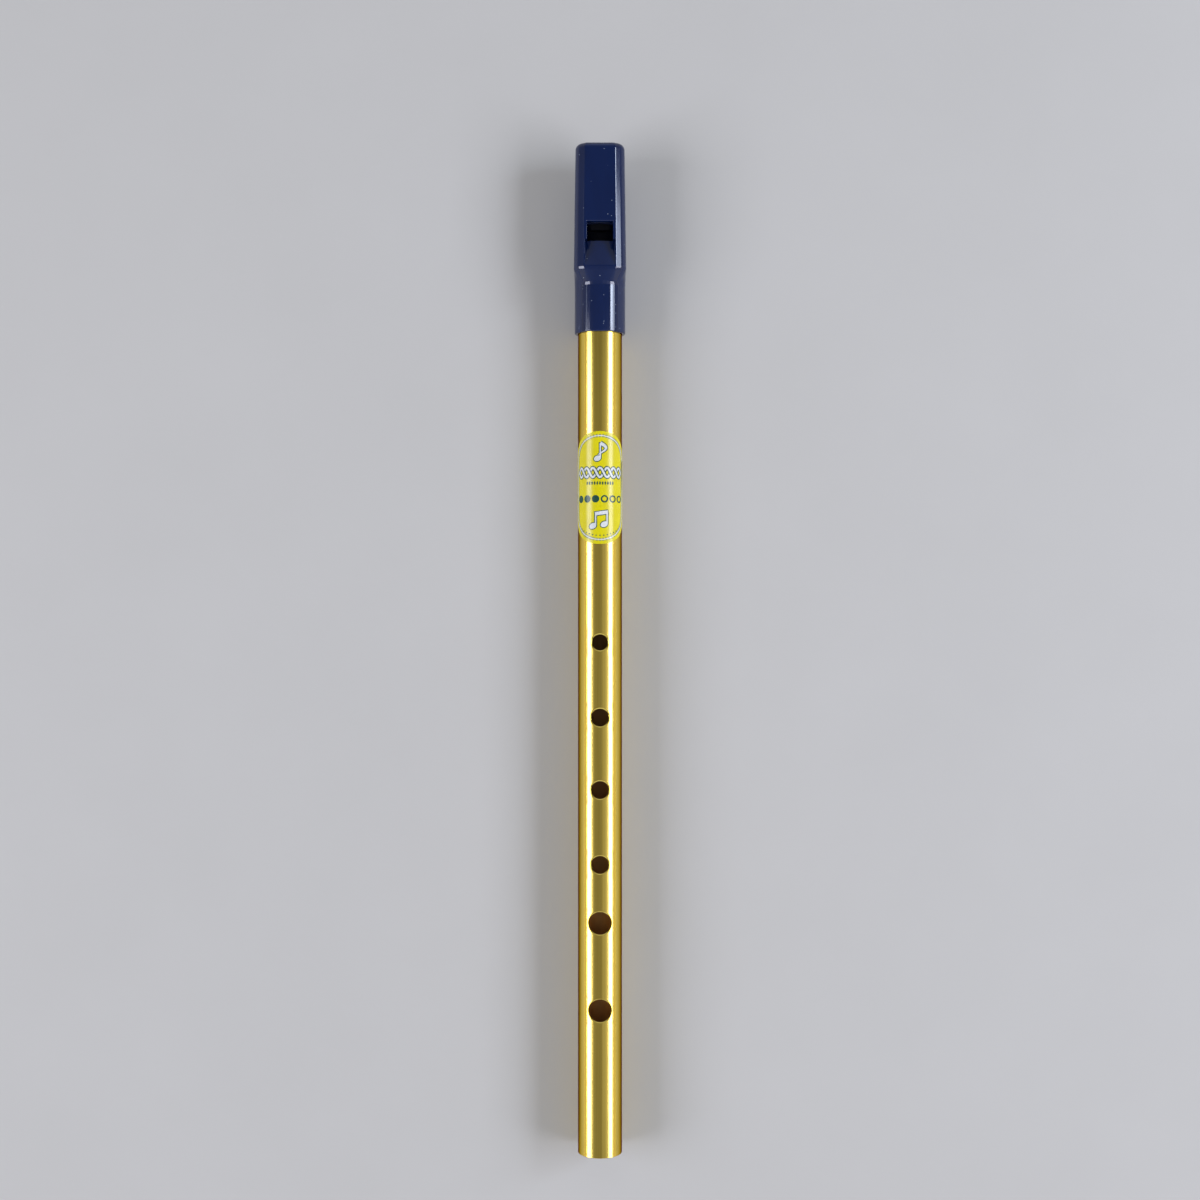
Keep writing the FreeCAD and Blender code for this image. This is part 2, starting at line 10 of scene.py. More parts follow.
import bmesh
import bpy
import numpy as np
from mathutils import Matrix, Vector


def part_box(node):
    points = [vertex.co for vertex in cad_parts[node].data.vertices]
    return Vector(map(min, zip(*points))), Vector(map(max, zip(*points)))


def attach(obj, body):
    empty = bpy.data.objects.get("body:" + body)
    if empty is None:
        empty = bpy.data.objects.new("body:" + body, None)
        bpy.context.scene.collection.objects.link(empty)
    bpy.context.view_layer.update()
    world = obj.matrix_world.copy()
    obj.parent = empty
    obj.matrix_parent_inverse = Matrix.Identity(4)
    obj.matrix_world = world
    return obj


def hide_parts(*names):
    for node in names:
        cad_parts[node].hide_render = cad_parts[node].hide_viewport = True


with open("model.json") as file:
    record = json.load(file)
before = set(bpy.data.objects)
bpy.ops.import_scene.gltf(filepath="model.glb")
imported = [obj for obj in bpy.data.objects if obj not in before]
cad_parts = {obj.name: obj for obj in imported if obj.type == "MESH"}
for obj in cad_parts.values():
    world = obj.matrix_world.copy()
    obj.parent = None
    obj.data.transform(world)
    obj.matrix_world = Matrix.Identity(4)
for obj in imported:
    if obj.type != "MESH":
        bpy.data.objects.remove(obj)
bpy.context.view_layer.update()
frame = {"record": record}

MM = 0.001
MOUNTS = {mount["name"]: mount for mount in frame["record"]["mounts"]}
AXIS_HEIGHT = MOUNTS["foot_bore"]["pos_m"][2]
FOOT = MOUNTS["foot_rim"]["pos_m"][1]

# the whistle's sizes, in millimetres, as the CAD model has them
HEAD_LOW, HEAD_HIGH = [(corner.y - FOOT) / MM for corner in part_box("mouthpiece")]
LABEL_LOW, LABEL_HIGH = [(corner.y - FOOT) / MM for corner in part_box("label")]
TUBE_TOP = (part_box("tube")[1].y - FOOT) / MM
BORE_RADIUS = MOUNTS["foot_bore"]["dims"]["r_mm"]
WALL = 0.4
TUBE_RADIUS = BORE_RADIUS + WALL
LABIUM = 268.5
# the finger holes' heights and radii, from the top one down
HOLES = [(151.0, 2.25), (129.0, 2.5), (107.8, 2.5), (85.9, 2.5), (68.8, 3.2), (43.2, 3.2)]


def place(points):
    """(x, along, up) points in millimetres, as an array of points in metres in the shared frame."""
    points = np.asarray(points, float) * MM
    return points + np.array([0, FOOT, AXIS_HEIGHT])


def make_object(name, points, faces, body, replaced=None):
    """A piece of the whistle that rides on a body and stands for a CAD part, or adds to one."""
    mesh = bpy.data.meshes.new(name)
    mesh.from_pydata(place(points).tolist(), [], [list(face) for face in faces])
    mesh.validate()
    mesh.shade_smooth()
    piece = bpy.data.objects.new(name, mesh)
    bpy.context.scene.collection.objects.link(piece)
    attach(piece, body)
    if replaced:
        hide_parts(replaced)
    return piece


# -------------------------------------------------------------------------------------- the mouthpiece

SLEEVE_RADIUS = 7.5
SOCKET_RADIUS = 6.53
# lengths from the labium, + towards the beak
TIP = HEAD_HIGH - LABIUM
BLOCK_END = -8.4
SLEEVE_TOP = -12.2
SLEEVE_MOUTH = HEAD_LOW - LABIUM
SOCKET_STEP = -9.5
WINDOW_LENGTH = 5.2
WINDOW_HALF_WIDTH = 3.8
RAMP_LENGTH = 7.7
RAMP_HALF_WIDTH = 4.45
BLADE_TOP = 6.4
ARCH_DROP = 10.0  # how far below the bore's axis the windway's and the blade's arches have their centre
HOLLOW_ROOF = 4.5
HOLLOW_END = 25.0
# the block's section at its end and at the tip: half width, front height, half width of the flat front, half
# width at the chamfers' outer edges, and how far the chamfers lean from the flat front
BLOCK = (7.7, 9.0, 4.6, 6.15, math.radians(33.5))
BEAK = (7.2, 8.8, 4.3, 5.75, math.radians(35))
# the windway at its exit and at the tip: half width, and the heights of its floor and roof in the middle
EXIT = (3.8, 5.75, 6.85)
ENTRY = (4.2, 5.65, 7.3)
# the hollow at its mouth and at its end: half width and low side
HOLLOW_MOUTH = (4.0, -3.6)
HOLLOW_TIP = (3.5, 1.9)
# the hollowed underside of the beak
BEVEL_START = (9.0, -7.7)
BEVEL_TIP = (TIP, 1.2)
BEVEL_RADIUS = 60.0
# the rounds on the outer edges, and how softly the block runs into the sleeve, as a part of the shoulder
CHAMFER_ROUND = 0.22
TIP_ROUND = 1.8
BEVEL_END_ROUND = 0.7
SLEEVE_MOUTH_ROUND = 0.35
SHOULDER_EASE = 0.16
# the rounds on the edges of what is cut out
SOCKET_ROUND = 0.12
HOLLOW_FLOOR_ROUND = 1.2
HOLLOW_ROUND = 0.6
WINDWAY_ROUND = 0.15
RAMP_ROUND = 0.25
WINDOW_ROUND = 0.08
LIP_ADDED_ROUND = 0.27  # how much rounder the window's edge is where the windway comes out
LIP_REACH = 0.9
# how far the cuts run into one another
WINDOW_FLOOR = 2.0
WINDWAY_OVERLAP = 0.3
RAMP_OVERLAP = 0.02


def mix(first, last, share):
    """Values between those of two sizes or places."""
    return [a + (b - a) * share for a, b in zip(first, last)]


def rounded_and(a, b, radius):
    """The distance to the overlap of two solids, with the edge between them rounded."""
    outside = np.hypot(np.maximum(a + radius, 0), np.maximum(b + radius, 0))
    return np.minimum(np.maximum(a, b), -radius) + outside


def soft_share(share, reach):
    """share held between 0 and 1, easing into both ends over reach."""
    low = np.clip(reach - np.abs(share), 0, None)
    eased = np.maximum(share, 0) + low**2 / (4 * reach)
    high = np.clip(reach - np.abs(eased - 1), 0, None)
    return np.minimum(eased, 1) - high**2 / (4 * reach)


def bevel_centre():
    """The middle of the arc of the beak's underside, as (along, up)."""
    (a_along, a_up), (b_along, b_up) = BEVEL_START, BEVEL_TIP
    chord = math.hypot(b_along - a_along, b_up - a_up)
    stand_off = math.sqrt(BEVEL_RADIUS**2 - (chord / 2) ** 2)
    slope_along, slope_up = (b_along - a_along) / chord, (b_up - a_up) / chord
    middle_along, middle_up = (a_along + b_along) / 2, (a_up + b_up) / 2
    return middle_along + slope_up * stand_off, middle_up - slope_along * stand_off


def head_outside(x, along, up):
    """The distance to the mouthpiece with nothing cut out of it."""
    radius = np.hypot(x, up)
    share = np.clip((along - BLOCK_END) / (TIP - BLOCK_END), 0, 1)
    half_width, front, facet, chamfer_end, slope = mix(BLOCK, BEAK, share)
    lean, rise = np.sin(slope), np.cos(slope)
    corner = (half_width - chamfer_end) / (1 - lean)
    corner_up = front - (chamfer_end - facet) * lean / rise - corner * rise
    beyond_x = np.abs(x) - (half_width - corner)
    beyond_up = up - corner_up
    chamfers = (np.abs(x) - facet) * lean + (up - front) * rise
    on_corner = (beyond_up > 0) & (beyond_x * rise > beyond_up * lean)
    flat_sides = np.maximum(np.abs(x) - half_width, chamfers)
    sides = np.where(on_corner, np.hypot(beyond_x, beyond_up) - corner, flat_sides)
    front_part = np.maximum(sides, rounded_and(up - front, chamfers, CHAMFER_ROUND))
    block = np.where(up > 0, front_part, radius - half_width)
    narrowing = soft_share((BLOCK_END - along) / (BLOCK_END - SLEEVE_TOP), SHOULDER_EASE)
    solid = block + (radius - SLEEVE_RADIUS - block) * narrowing
    centre_along, centre_up = bevel_centre()
    bevel = BEVEL_RADIUS - np.hypot(along - centre_along, up - centre_up)
    solid = rounded_and(solid, rounded_and(along - TIP, bevel, BEVEL_END_ROUND), TIP_ROUND)
    return rounded_and(solid, SLEEVE_MOUTH - along, SLEEVE_MOUTH_ROUND)


def head_bore(x, along, up):
    """The socket, the chamber and the hollow beyond it."""
    radius = np.hypot(x, up)
    socket = np.maximum(radius - SOCKET_RADIUS, along - SOCKET_STEP)
    chamber = np.maximum(radius - BORE_RADIUS, along - WINDOW_LENGTH)
    half_width, low = mix(HOLLOW_MOUTH, HOLLOW_TIP, (along - WINDOW_LENGTH) / (HOLLOW_END - WINDOW_LENGTH))
    hollow = rounded_and(np.abs(x) - half_width, low - up, HOLLOW_FLOOR_ROUND)
    hollow = rounded_and(hollow, radius - HOLLOW_ROOF, HOLLOW_ROUND)
    hollow = rounded_and(hollow, np.maximum(along - HOLLOW_END, -along), HOLLOW_ROUND)
    return np.minimum(np.minimum(socket, chamber), hollow)


def head_windway(x, along, up):
    """The arched slot from the beak's end to the window."""
    height = np.hypot(x, up + ARCH_DROP) - ARCH_DROP
    half_width, floor, roof = mix(EXIT, ENTRY, (along - WINDOW_LENGTH) / (TIP - WINDOW_LENGTH))
    slot = np.maximum(np.abs(x) - half_width, np.maximum(height - roof, floor - height))
    return np.maximum(slot, np.maximum(WINDOW_LENGTH - WINDWAY_OVERLAP - along, -up))


def head_window(x, along, up):
    """The window and the ramp below it, down to the blade's two faces."""
    window = np.maximum(np.abs(x) - WINDOW_HALF_WIDTH, np.abs(along - WINDOW_LENGTH / 2) - WINDOW_LENGTH / 2)
    window = np.maximum(window, WINDOW_FLOOR - up)
    arc = np.sqrt((BLADE_TOP + ARCH_DROP) ** 2 - x**2) - ARCH_DROP
    climb = -along / RAMP_LENGTH
    surface = arc + (BLOCK[1] - arc) * climb
    steepness = (BLOCK[1] - BLADE_TOP) / RAMP_LENGTH
    above = (surface - up) / math.hypot(1, steepness)
    ramp = rounded_and(np.abs(x) - RAMP_HALF_WIDTH, above, RAMP_ROUND)
    return np.minimum(window, np.maximum(ramp, along - RAMP_OVERLAP))


def head_distance(x, along, up):
    """The distance to the mouthpiece's surface, negative inside the plastic."""
    along = along - LABIUM
    solid = rounded_and(head_outside(x, along, up), -head_bore(x, along, up), SOCKET_ROUND)
    solid = rounded_and(solid, -head_windway(x, along, up), WINDWAY_ROUND)
    lip = np.clip((along - WINDOW_LENGTH + LIP_REACH) / LIP_REACH, 0, 1)
    window_round = WINDOW_ROUND + LIP_ADDED_ROUND * lip
    return rounded_and(solid, -head_window(x, along, up), window_round)


def spaced(*stretches):
    """Grid lines for stretches of (start, end, spacing) that follow one another."""
    lines = []
    for start, end, spacing in stretches:
        count = max(1, round((end - start) / spacing))
        lines.extend(np.linspace(start, end, count + 1)[:-1])
    return np.array(lines + [stretches[-1][1]])


# how points are moved on to a surface: how often, the least steepness that is reckoned with, and the longest
# move at a time
FIT_ROUNDS = 6
LEAST_STEEPNESS = 0.2
LONGEST_MOVE = 0.08
NEARLY_ZERO = 1e-9


def gradient(distance, points, step=0.004):
    """How fast a distance grows in each direction, at each point."""
    columns = []
    for axis in range(3):
        shift = np.zeros(3)
        shift[axis] = step
        ahead = distance(*(points + shift).T)
        behind = distance(*(points - shift).T)
        columns.append((ahead - behind) / (2 * step))
    return np.stack(columns, axis=1)


def surface_of(distance, xs, alongs, ups):
    """Points, faces and normals of the surface where distance is 0.

    Each grid cell that the surface crosses gets one point, and each grid line that it crosses gets a face
    between the four cells around it. The points are then moved on to the surface itself.
    """
    grid = np.meshgrid(xs, alongs, ups, indexing="ij")
    values = distance(*grid)
    inside = values < 0
    counts = np.zeros(np.array(values.shape) - 1)
    totals = np.zeros(counts.shape + (3,))
    crossings = []
    for axis in range(3):
        low = [slice(None)] * 3
        high = [slice(None)] * 3
        low[axis], high[axis] = slice(None, -1), slice(1, None)
        low, high = tuple(low), tuple(high)
        crossed = inside[low] != inside[high]
        where = np.argwhere(crossed)
        before, after = values[low][crossed], values[high][crossed]
        share = (before / (before - after))[:, None]
        start = np.stack([g[low][crossed] for g in grid], axis=1)
        end = np.stack([g[high][crossed] for g in grid], axis=1)
        point = start + (end - start) * share
        others = [a for a in range(3) if a != axis]
        around = []
        for back_first, back_second in ((0, 0), (1, 0), (1, 1), (0, 1)):
            cell = where.copy()
            cell[:, others[0]] -= back_first
            cell[:, others[1]] -= back_second
            around.append(cell)
            np.add.at(counts, tuple(cell.T), 1)
            np.add.at(totals, tuple(cell.T), point)
        crossings.append((around, inside[low][crossed] == (axis != 1)))
    used = counts > 0
    numbers = np.full(counts.shape, -1)
    numbers[used] = np.arange(used.sum())
    points = totals[used] / counts[used][:, None]
    faces = []
    for around, keeps_order in crossings:
        quads = np.stack([numbers[tuple(cell.T)] for cell in around], axis=1)
        quads[~keeps_order] = quads[~keeps_order][:, ::-1]
        faces.append(quads)
    for _ in range(FIT_ROUNDS):
        slope = gradient(distance, points)
        steepness = np.maximum((slope**2).sum(axis=1), LEAST_STEEPNESS)
        move = -(distance(*points.T) / steepness)[:, None] * slope
        length = np.linalg.norm(move, axis=1, keepdims=True)
        points = points + move * np.minimum(1, LONGEST_MOVE / np.maximum(length, NEARLY_ZERO))
    slope = gradient(distance, points)
    normals = slope / np.maximum(np.linalg.norm(slope, axis=1, keepdims=True), NEARLY_ZERO)
    return points, np.concatenate(faces), normals


def make_mouthpiece():
    """One closed skin. Its grid is finer where the edges are and coarser on plain stretches."""
    reach, chamfer_out, chamfer_in = 7.9, 6.4, 4.0
    window_low, block_low, top = 4.3, 7.1, 9.2
    xs = spaced(
        (-reach, -chamfer_out, 0.27), (-chamfer_out, -chamfer_in, 0.13), (-chamfer_in, chamfer_in, 0.28),
        (chamfer_in, chamfer_out, 0.13), (chamfer_out, reach, 0.27),
    )
    ups = spaced((-reach, window_low, 0.32), (window_low, block_low, 0.19), (block_low, top, 0.14))
    alongs = LABIUM + spaced(
        (SLEEVE_MOUTH - 0.3, SLEEVE_MOUTH + 0.9, 0.12), (SLEEVE_MOUTH + 0.9, SLEEVE_TOP - 1.0, 1.0),
        (SLEEVE_TOP - 1.0, BLOCK_END + 1.5, 0.2), (BLOCK_END + 1.5, -0.9, 0.3), (-0.9, 0.4, 0.1),
        (0.4, WINDOW_LENGTH - 0.4, 0.4), (WINDOW_LENGTH - 0.4, WINDOW_LENGTH + 0.6, 0.1),
        (WINDOW_LENGTH + 0.6, BEVEL_START[0] - 1.0, 0.4), (BEVEL_START[0] - 1.0, HOLLOW_END - 1.2, 0.35),
        (HOLLOW_END - 1.2, TIP - 1.6, 0.25), (TIP - 1.6, TIP + 0.3, 0.12),
    )
    points, faces, normals = surface_of(head_distance, xs, alongs, ups)
    head = make_object("whistle_head", points, faces, "head", "mouthpiece")
    head.data.normals_split_custom_set_from_vertices(normals.tolist())
    return head


# -------------------------------------------------------------------------------------------- the tube

PATCH_HALF = 4.6  # half the side of the square of finer mesh round a finger hole
PATCH_STEPS = 24
BACK_STEPS = 72
HOLE_EASE = 0.12  # how much wider than their nominal radius the holes are once their edges are deburred
HOLE_CHAMFER = 0.26
CHAMFER_DEPTH = 0.21
# how far out from the hole and how deep the chamfer's rings are, in parts of its size
CHAMFER_RINGS = ((0.94, 0.02), (0.87, 0.10), (0.5, 0.5), (0.12, 0.88), (0.03, 0.96), (0, 1.06))
RING_SHARES = (0, 0.3, 0.55, 0.75, 0.9, 1)  # where the rings between the square and the hole are
HOLE_INNER_ROUND = 0.05
END_ROUND = 0.12
ARC_STEPS = 5
# where the plain stretches at the foot and at the head have points
FOOT_STATIONS = [END_ROUND, 15.0, 28.0]
HEAD_STATIONS = 7
HEAD_STATIONS_START = 12  # from the top hole's square
WELD_REACH = 0.002  # how near two points have to be to be joined
SHARP_ANGLE = 50  # in degrees, the bend from which an edge is shaded as a sharp one


def on_tube(radius, angle, along):
    """A point on a cylinder about the bore. The angle is 0 at the front."""
    return (radius * math.sin(angle), along, radius * math.cos(angle))


def grid_faces(grid, skipped=lambda row, column: False):
    """Quads over rows of point numbers."""
    return [
        (grid[row][column], grid[row][column + 1], grid[row + 1][column + 1], grid[row + 1][column])
        for row in range(len(grid) - 1)
        for column in range(len(grid[row]) - 1)
        if not skipped(row, column)
    ]


class Shell:
    """Points and faces of a mesh that is put together from sheets, to be welded where they meet."""

    def __init__(self):
        self.points = []
        self.faces = []

    def sheet(self, rows, skipped=lambda row, column: False):
        """Adds rows of points with faces between them."""
        grid = []
        for row in rows:
            grid.append(list(range(len(self.points), len(self.points) + len(row))))
            self.points.extend(row)
        self.faces.extend(grid_faces(grid, skipped))


def weld(piece, reach=WELD_REACH):
    """Joins a closed piece's sheets where they meet, faces them all outwards and evens their shading."""
    mesh = bmesh.new()
    mesh.from_mesh(piece.data)
    bmesh.ops.remove_doubles(mesh, verts=mesh.verts, dist=reach * MM)
    bmesh.ops.recalc_face_normals(mesh, faces=mesh.faces)
    mesh.to_mesh(piece.data)
    mesh.free()
    piece.data.shade_smooth()
    piece.data.set_sharp_from_angle(angle=math.radians(SHARP_ANGLE))
    shading = piece.modifiers.new("even_shading", "WEIGHTED_NORMAL")
    shading.weight = 100
    shading.keep_sharp = True
    bpy.context.view_layer.update()
    with bpy.context.temp_override(object=piece, active_object=piece):
        bpy.ops.object.modifier_apply(modifier=shading.name)


def hole_rings(centre, radius, corners):
    """Rings of points from the outer skin, over a hole's rim, through the wall and out over the inner skin.

    corners are the (angle, along) places of the points on the edge of the square round the hole, in order.
    """
    rings = []

    def plan(skin_radius, hole_radius, share):
        """Where the ring lies in plan, between the square (share 0) and the circle (share 1)."""
        ring = []
        for angle, along in corners:
            x, y = skin_radius * math.sin(angle), along - centre
            reach = math.hypot(x, y)
            inwards = hole_radius * x / reach - x, hole_radius * y / reach - y
            ring.append((x + inwards[0] * share, y + inwards[1] * share))
        return ring

    def add(ring, skin_radius, depth):
        """Puts a plan's ring at a depth below a skin."""
        rings.append([(x, centre + y, math.sqrt(skin_radius**2 - x**2) - depth) for x, y in ring])

    for share in RING_SHARES:
        add(plan(TUBE_RADIUS, radius + HOLE_CHAMFER, share), TUBE_RADIUS, 0)
    for outwards, depth in CHAMFER_RINGS:
        add(plan(TUBE_RADIUS, radius + HOLE_CHAMFER * outwards, 1), TUBE_RADIUS, CHAMFER_DEPTH * depth)
    for step in range(ARC_STEPS + 1):
        turn = math.radians(90 * step / ARC_STEPS)
        rim = plan(BORE_RADIUS, radius + HOLE_INNER_ROUND * (1 - math.cos(turn)), 1)
        add(rim, BORE_RADIUS, -HOLE_INNER_ROUND * (1 - math.sin(turn)))
    for share in reversed(RING_SHARES[:-1]):
        add(plan(BORE_RADIUS, radius + HOLE_INNER_ROUND, share), BORE_RADIUS, 0)
    return [ring + ring[:1] for ring in rings]


def make_tube():
    """Both skins, with a square of finer mesh round each hole, joined at the holes and at the ends."""
    shell = Shell()
    edge_angle = math.asin(PATCH_HALF / TUBE_RADIUS)
    front = np.linspace(-edge_angle, edge_angle, PATCH_STEPS + 1)
    back = np.linspace(edge_angle, 2 * math.pi - edge_angle, BACK_STEPS + 1)
    angles = list(front) + list(back[1:])
    patch = np.linspace(-PATCH_HALF, PATCH_HALF, PATCH_STEPS + 1)
    stations = list(FOOT_STATIONS)
    for centre, _ in reversed(HOLES):
        stations.extend(centre + patch)
    head_start = HOLES[0][0] + PATCH_HALF + HEAD_STATIONS_START
    stations.extend(np.linspace(head_start, TUBE_TOP - END_ROUND, HEAD_STATIONS))

    def in_a_patch(row, column):
        middle = (stations[row] + stations[row + 1]) / 2
        return column < PATCH_STEPS and any(abs(middle - centre) < PATCH_HALF for centre, _ in HOLES)

    for radius in (TUBE_RADIUS, BORE_RADIUS):
        shell.sheet([[on_tube(radius, a, s) for a in angles] for s in stations], in_a_patch)
    for centre, radius in HOLES:
        corners = [(angle, centre - PATCH_HALF) for angle in front[:-1]]
        corners += [(edge_angle, centre + offset) for offset in patch[:-1]]
        corners += [(angle, centre + PATCH_HALF) for angle in front[:0:-1]]
        corners += [(-edge_angle, centre + offset) for offset in patch[:0:-1]]
        shell.sheet(hole_rings(centre, radius + HOLE_EASE, corners))
    turns = [math.radians(90 * step / ARC_STEPS) for step in range(ARC_STEPS + 1)]
    for end, inward in ((0, 1), (TUBE_TOP, -1)):
        rim = [(TUBE_RADIUS - END_ROUND * (1 - math.cos(t)), END_ROUND * (1 - math.sin(t))) for t in turns]
        rim += [(BORE_RADIUS + END_ROUND * (1 - math.sin(t)), END_ROUND * (1 - math.cos(t))) for t in turns]
        shell.sheet([[on_tube(r, a, end + inward * depth) for a in angles] for r, depth in rim])
    tube = make_object("whistle_tube", shell.points, shell.faces, "body_tube", "tube")
    weld(tube)
    return tube


# ------------------------------------------------------------------------------------------- the label

LABEL_LENGTH = LABEL_HIGH - LABEL_LOW
LABEL_MIDDLE = (LABEL_HIGH + LABEL_LOW) / 2
LABEL_WIDTH = 19.0
LABEL_END_RISE = 8.5
LABEL_THICKNESS = 0.1
LABEL_TOP = TUBE_RADIUS + LABEL_THICKNESS
INK = 0.010  # how far one layer of ink stands off the one below
INK_ROOT = 0.02  # how far ink reaches down into the paper
INK_SPREAD = 0.1  # how much shapes of one layer differ in height, in layers, so that none share a face
INK_WELD_REACH = 0.0001


def wrapped(u, v, radius):
    """A place on the flat label, u to the right and v towards the beak, rolled on to the tube."""
    angle = u / TUBE_RADIUS
    return (radius * math.sin(angle), LABEL_MIDDLE + v, radius * math.cos(angle))


def add_slab(shell, rows, low, highs):
    """Rows of (u, v) places made into a closed slab. highs has the outer radius of each row."""
    tops = [[wrapped(u, v, high) for u, v in row] for row, high in zip(rows, highs)]
    bottoms = [[wrapped(u, v, low) for u, v in row] for row in rows]
    shell.sheet(tops)
    shell.sheet(bottoms)
    for side in (0, -1):
        shell.sheet([[row[side] for row in tops], [row[side] for row in bottoms]])
    for end in (0, -1):
        shell.sheet([tops[end], bottoms[end]])


def disc(u, v, half_u, half_v, turn=0.0, steps=8):
    """An ellipse as a square sheet of places."""
    cos, sin = math.cos(turn), math.sin(turn)
    rows = []
    for t in np.linspace(-1, 1, steps + 1):
        row = []
        for s in np.linspace(-1, 1, steps + 1):
            a = half_u * s * math.sqrt(1 - t * t / 2)
            b = half_v * t * math.sqrt(1 - s * s / 2)
            row.append((u + a * cos - b * sin, v + a * sin + b * cos))
        rows.append(row)
    return rows


def stroke(path, widths, across=2):
    """A band along a path of (u, v) places, with a width for each place."""
    rows = []
    for number, ((u, v), width) in enumerate(zip(path, widths)):
        before = path[max(number - 1, 0)]
        after = path[min(number + 1, len(path) - 1)]
        if path[0] == path[-1] and number in (0, len(path) - 1):
            before, after = path[-2], path[1]
        along_u, along_v = after[0] - before[0], after[1] - before[1]
        length = math.hypot(along_u, along_v)
        offsets = np.linspace(-width / 2, width / 2, across + 1)
        rows.append([(u + along_v / length * o, v - along_u / length * o) for o in offsets])
    return rows


def straight(start, end, steps=8):
    """The places along a line."""
    return [tuple(mix(start, end, step / steps)) for step in range(steps + 1)]


def stadium_rows(half_width, half_length, rise, steps=16):
    """The label's outline filled in: a straight middle between two half ellipses."""
    middle_half = half_length - rise
    sides = np.linspace(-1, 1, 2 * steps + 1)

    def cap(t, way):
        """A row across an end, t of the way from the straight middle to the tip."""
        return [
            (
                half_width * s * math.sqrt(1 - t * t / 2),
                way * (middle_half + rise * t * math.sqrt(1 - s * s / 2)),
            )
            for s in sides
        ]

    ends = np.linspace(0, 1, steps + 1)
    heights = np.linspace(-middle_half, middle_half, steps)[1:-1]
    middle = [[(half_width * s, v) for s in sides] for v in heights]
    return [cap(t, -1) for t in ends[::-1]] + middle + [cap(t, 1) for t in ends]


def stadium_path(half_width, half_length, rise, steps=28):
    """The places along the label's outline, back to the first."""
    middle_half = half_length - rise
    path = []
    for way in (1, -1):
        for step in range(steps + 1):
            turn = math.pi * step / steps
            path.append((way * half_width * math.cos(turn), way * (middle_half + rise * math.sin(turn))))
    return path + path[:1]


# the notes' parts, in parts of a note's size
NOTE_HEAD = (0.205, 0.15)
NOTE_HEAD_TURN = math.radians(25)
STEM_SIDE = 0.155  # from the head's middle
STEM_WIDTH = 0.08
FLAG_REACH, FLAG_DROP = 0.36, 0.66
FLAG_TURN = 1.15 * math.pi
FLAG_DRAW = 0.25  # how much nearer the stem the flag's end swings
FLAG_ROOT, FLAG_TIP, FLAG_TAPER = 0.17, 0.03, 0.8
FLAG_STEPS = 16
BEAM_WIDTH = 0.19
BEAM_REACH = 0.04  # past the stems' middles
BEAM_GAP, BEAM_LIFT = 0.62, 0.09  # between the stems, and from the left one up to the right one
BEAM_STEM = 0.74


def note(head_u, head_v, top, size, grow):
    """A note's head and its stem up to top, with the edges moved outwards by grow."""
    stem_u = head_u + STEM_SIDE * size
    stem = straight((stem_u, head_v), (stem_u, top))
    return [
        disc(head_u, head_v, NOTE_HEAD[0] * size + grow, NOTE_HEAD[1] * size + grow, NOTE_HEAD_TURN),
        stroke(stem, [STEM_WIDTH * size + 2 * grow] * len(stem)),
    ]


def quaver(u, v, size, grow):
    """A quaver, with every edge moved outwards by grow."""
    head_u, head_v = u - 0.14 * size, v - 0.36 * size
    stem_u, top = head_u + STEM_SIDE * size, v + 0.5 * size
    flag = []
    widths = []
    for t in np.linspace(0, 1, FLAG_STEPS + 1):
        swing = FLAG_REACH * size * math.sin(FLAG_TURN * t) * (1 - FLAG_DRAW * t)
        flag.append((stem_u + swing, top - FLAG_DROP * size * t))
        widths.append(FLAG_ROOT * size * (1 - t) ** FLAG_TAPER + FLAG_TIP * size + 2 * grow)
    return note(head_u, head_v, top + grow, size, grow) + [stroke(flag, widths)]


def beamed_quavers(u, v, size, grow):
    """Two quavers under one slanting beam, with the edges moved outwards by grow."""
    gap, lift = BEAM_GAP * size, BEAM_LIFT * size
    shapes = []
    for side in (-1, 1):
        head_u = u - 0.08 * size + side * gap / 2
        head_v = v - 0.33 * size + side * lift / 2
        shapes += note(head_u, head_v, head_v + BEAM_STEM * size, size, grow)
    middle_u = u + 0.075 * size
    left = middle_u - gap / 2 - BEAM_REACH * size - grow
    right = middle_u + gap / 2 + BEAM_REACH * size + grow
    rise = lift / gap * (right - left) / 2
    middle_v = v + 0.33 * size
    beam = straight((left, middle_v - rise), (right, middle_v + rise))
    return shapes + [stroke(beam, [BEAM_WIDTH * size + 2 * grow] * len(beam))]


PLAIT_LOOPS = 7
PLAIT_STEPS = 140


def plait(middle_v, half_width, height, strand):
    """Two strands of that width which cross over and under one another, as (rows, lifts) for each."""
    strands = []
    for way in (1, -1):
        turns = [math.pi * (0.5 + PLAIT_LOOPS * step / PLAIT_STEPS) for step in range(PLAIT_STEPS + 1)]
        path = [
            (half_width * (2 * step / PLAIT_STEPS - 1), middle_v + way * height / 2 * math.cos(turn))
            for step, turn in enumerate(turns)
        ]
        strands.append((stroke(path, [strand] * len(path)), [way * math.sin(turn) for turn in turns]))
    return strands


def make_label():
    """The blank label: a thin sheet rolled on to the tube."""
    shell = Shell()
    rows = stadium_rows(LABEL_WIDTH / 2, LABEL_LENGTH / 2, LABEL_END_RISE)
    add_slab(shell, rows, TUBE_RADIUS, [LABEL_TOP] * len(rows))
    label = make_object("whistle_label", shell.points, shell.faces, "body_tube", "label")
    weld(label)
    return label


